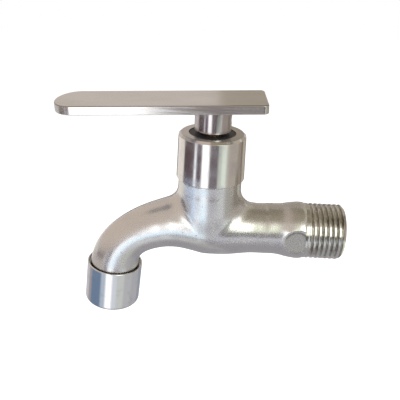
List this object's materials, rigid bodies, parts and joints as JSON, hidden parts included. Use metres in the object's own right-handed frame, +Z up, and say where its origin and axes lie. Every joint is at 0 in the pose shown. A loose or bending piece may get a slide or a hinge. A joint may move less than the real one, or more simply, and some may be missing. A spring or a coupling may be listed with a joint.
{
  "type": "utility sink faucet",
  "caption": "Short wall-mounted cold tap: threaded inlet at the back, curved spout with a round aerator, and a flat lever on a polished neck that turns to open a ceramic disc valve.",
  "frame": {"origin": "centre of the inlet where the male thread meets the collar's shoulder", "axes": "+X along the inlet thread, out towards the wall; -X towards the spout; +Z up the neck towards the lever; -Y is the side with the small round flat"},
  "size_m": [0.1065, 0.0248, 0.0863],
  "materials": {
    "cast_steel": "fine satin over a casting",
    "polished_steel": "turned and mirror polished",
    "lever_steel": "brushed along its length, edges polished",
    "aerator_chrome": "plated and polished",
    "brass": "turned, bare",
    "black_rubber": "moulded, matt",
    "fibre": "pressed fibre",
    "white_ceramic": "lapped",
    "black_nylon": "moulded, satin",
    "white_acetal": "moulded, satin",
    "grey_acetal": "moulded, satin",
    "steel_mesh": "woven wire",
    "spring_steel": "oiled, dark"
  },
  "bodies": {
    "tap": {"body": "cast_steel", "bonnet_sleeve": "polished_steel", "dust_ring": "black_nylon", "cartridge_housing": "brass", "cartridge_washer": "fibre", "seat_washer": "black_rubber", "fixed_disc": "white_ceramic", "aerator_shell": "aerator_chrome", "aerator_washer": "black_rubber", "aerator_cage": "white_acetal", "flow_diffuser": "white_acetal", "mesh_screen_upper": "steel_mesh", "mesh_screen_lower": "steel_mesh", "outlet_grid": "grey_acetal"},
    "handle": {"lever_plate": "lever_steel", "handle_hub": "polished_steel", "grub_screw": "spring_steel", "spindle": "brass", "moving_disc": "white_ceramic", "thrust_washer": "white_acetal", "spindle_o_ring_lower": "black_rubber", "spindle_o_ring_upper": "black_rubber", "spindle_circlip": "spring_steel"}
  },
  "joints": [
    {"name": "handle_turn", "type": "hinge", "parent": "tap", "child": "handle", "pos_m": [-0.036, 0, 0.0372], "axis": [0, 0, 1], "range_deg": [0, 90]}
  ]
}
